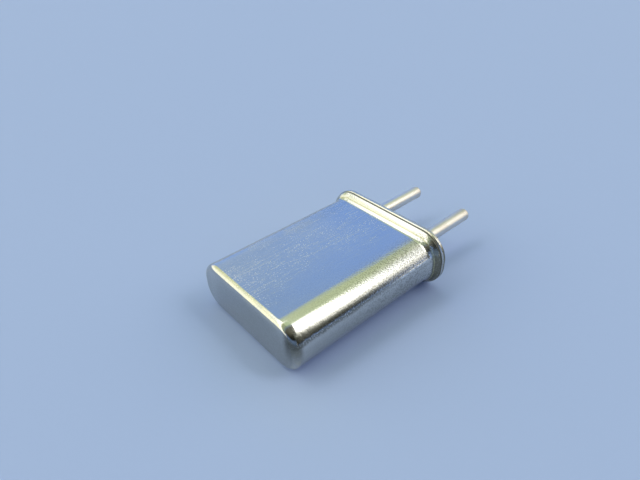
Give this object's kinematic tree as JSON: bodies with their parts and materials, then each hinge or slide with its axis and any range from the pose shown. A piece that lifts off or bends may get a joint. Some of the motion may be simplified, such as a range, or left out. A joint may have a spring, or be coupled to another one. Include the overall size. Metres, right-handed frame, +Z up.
{
  "type": "crystal oscillator",
  "caption": "Quartz crystal in a flanged metal can with round long edges, welded to a glass-sealed base from which straight round pins stand out.",
  "frame": {"origin": "centre of the bounding box in X and Y, at the lowest edge of the flange, with the part lying on a broad side", "axes": "+X across the can's width, +Y along the pins from the closed end to the pin tips, +Z up through the can's thickness"},
  "size_m": [0.0108, 0.02, 0.0044],
  "materials": {
    "plated_can": "satin nickel plate, lightly scratched",
    "plated_base": "nickel plate",
    "pin_metal": "smooth plated wire",
    "seal_glass": "dark fused glass",
    "spring_metal": "bright spring strip",
    "quartz": "finely ground and polished",
    "silver_film": "evaporated silver",
    "silver_cement": "matt, silver-filled"
  },
  "bodies": {
    "root": {"can": "plated_can", "base": "plated_base", "glass_seal_left": "seal_glass", "glass_seal_right": "seal_glass", "pin_left": "pin_metal", "pin_right": "pin_metal", "spring_clip_left": "spring_metal", "spring_clip_right": "spring_metal", "quartz_disc": "quartz", "electrode_front": "silver_film", "electrode_back": "silver_film", "cement_left": "silver_cement", "cement_right": "silver_cement"}
  },
  "joints": []
}
